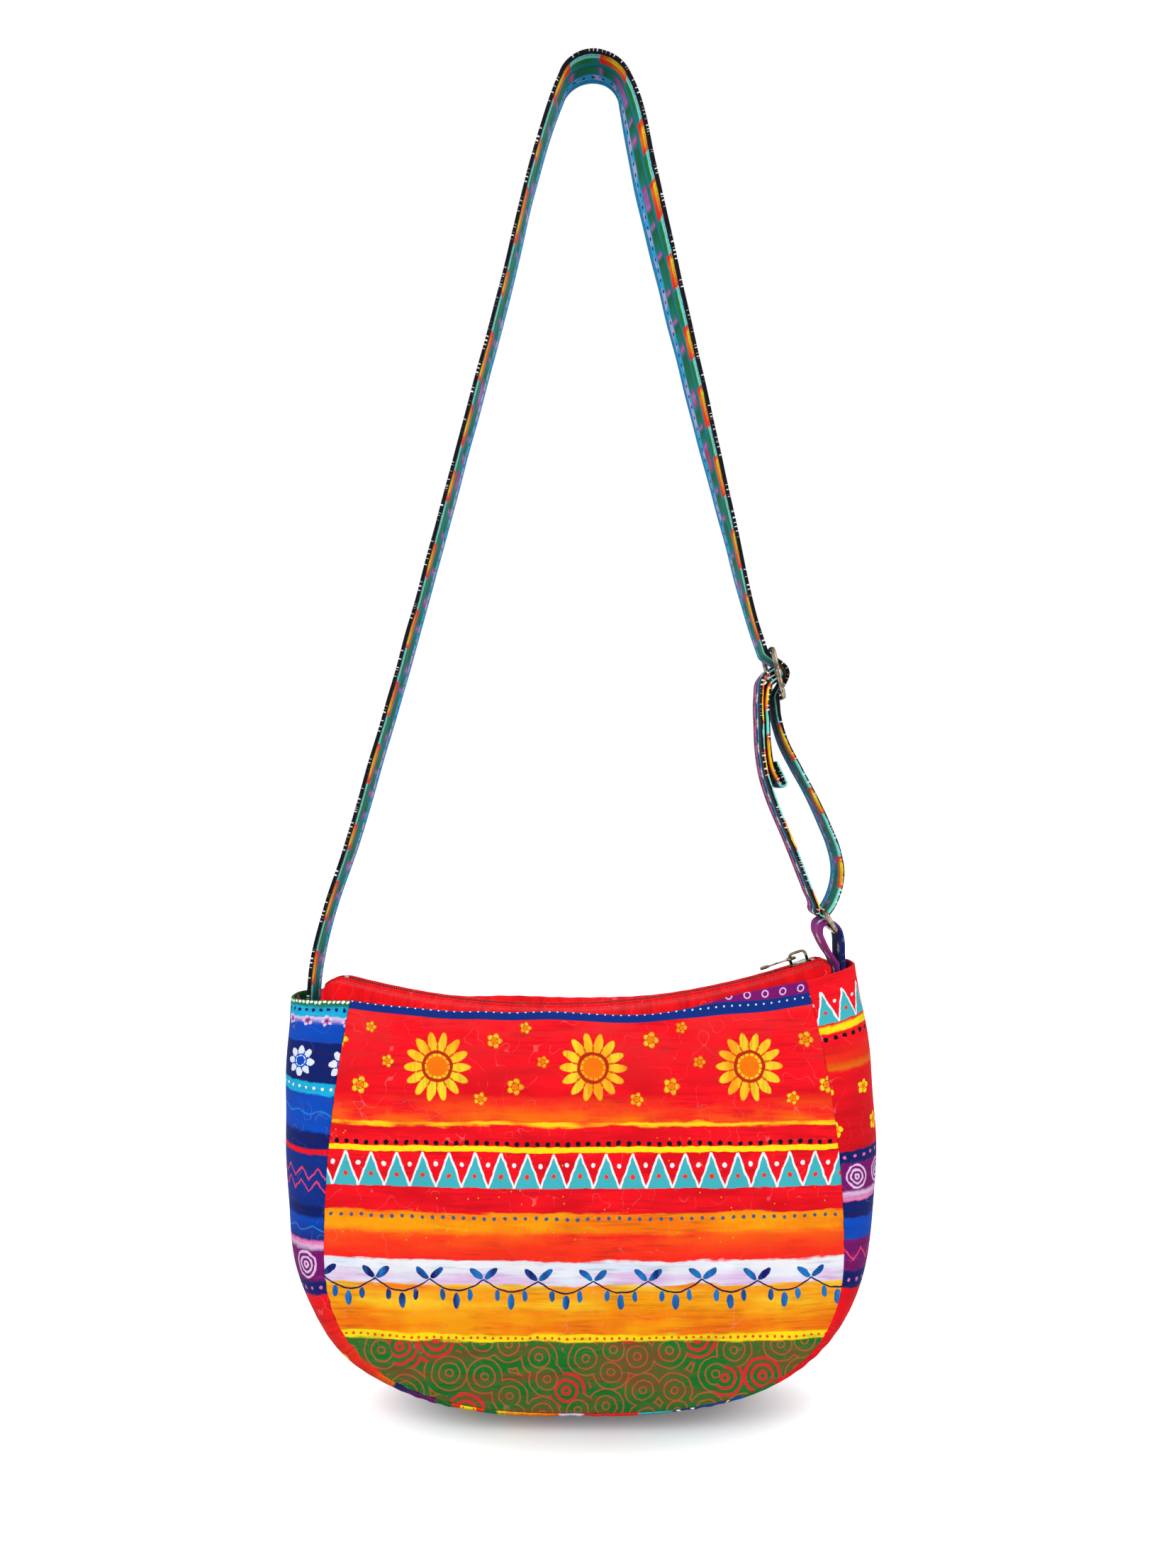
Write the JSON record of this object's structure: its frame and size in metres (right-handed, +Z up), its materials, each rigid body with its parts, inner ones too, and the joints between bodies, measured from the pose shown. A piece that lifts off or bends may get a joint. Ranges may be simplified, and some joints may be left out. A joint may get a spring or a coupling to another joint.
{
  "type": "crossbody bag",
  "caption": "Soft U-shaped crossbody bag of printed canvas with a recessed zip top and a wide adjustable shoulder strap with a metal slide and ring, hanging by its strap.",
  "frame": {"origin": "hang point: the inner face of the strap, at the middle of its width, where it lies on the peg", "axes": "+Z up, +X to the right of someone who looks at the bag's front, the front faces -Y"},
  "size_m": [0.3525, 0.0908, 0.8014],
  "materials": {
    "printed_canvas": "matte printed canvas",
    "gusset_canvas": "matte printed canvas",
    "strap_webbing": "matte printed webbing",
    "tab_webbing": "matte printed webbing",
    "red_cotton": "matte cotton",
    "zip_tape": "matte woven tape",
    "zip_coil": "satin nylon",
    "lining": "matte cotton",
    "nickel": "antique nickel"
  },
  "bodies": {
    "bag": {"front_panel": "printed_canvas", "back_panel": "printed_canvas", "gusset": "gusset_canvas", "lining_front": "lining", "lining_back": "lining", "lining_gusset": "lining", "zip_strip_front": "red_cotton", "zip_strip_back": "red_cotton", "zip_tape_front": "zip_tape", "zip_tape_back": "zip_tape", "zip_coil_front": "zip_coil", "zip_coil_back": "zip_coil", "zip_stop_top_front": "nickel", "zip_stop_top_back": "nickel", "zip_stop_bottom": "nickel", "strap": "strap_webbing", "ring_tab": "tab_webbing"},
    "slider": {"zip_slider": "nickel"},
    "pull": {"zip_pull": "nickel"},
    "ring": {"ring": "nickel"},
    "adjuster": {"adjuster": "nickel"}
  },
  "joints": [
    {"name": "zip_travel", "type": "hinge", "parent": "bag", "child": "slider", "pos_m": [-0.02449, 0, -0.09295], "axis": [0, 1, 0], "range_deg": [0, 32.6]},
    {"name": "pull_swing", "type": "hinge", "parent": "slider", "child": "pull", "pos_m": [0.12065, 0, -0.53433], "axis": [0, 1, 0], "range_deg": [-8, 110]},
    {"name": "ring_swing", "type": "hinge", "parent": "bag", "child": "ring", "pos_m": [0.14205, 0, -0.51619], "axis": [0, 1, 0], "range_deg": [-15, 15], "stiffness_Nm_per_rad": 0.02, "deforming": ["strap"]},
    {"name": "adjuster_slide", "type": "slide", "parent": "bag", "child": "adjuster", "axis": [-0.225, 0, 0.9744], "range_m": [-0.03, 0.03], "deforming": ["strap"]}
  ]
}
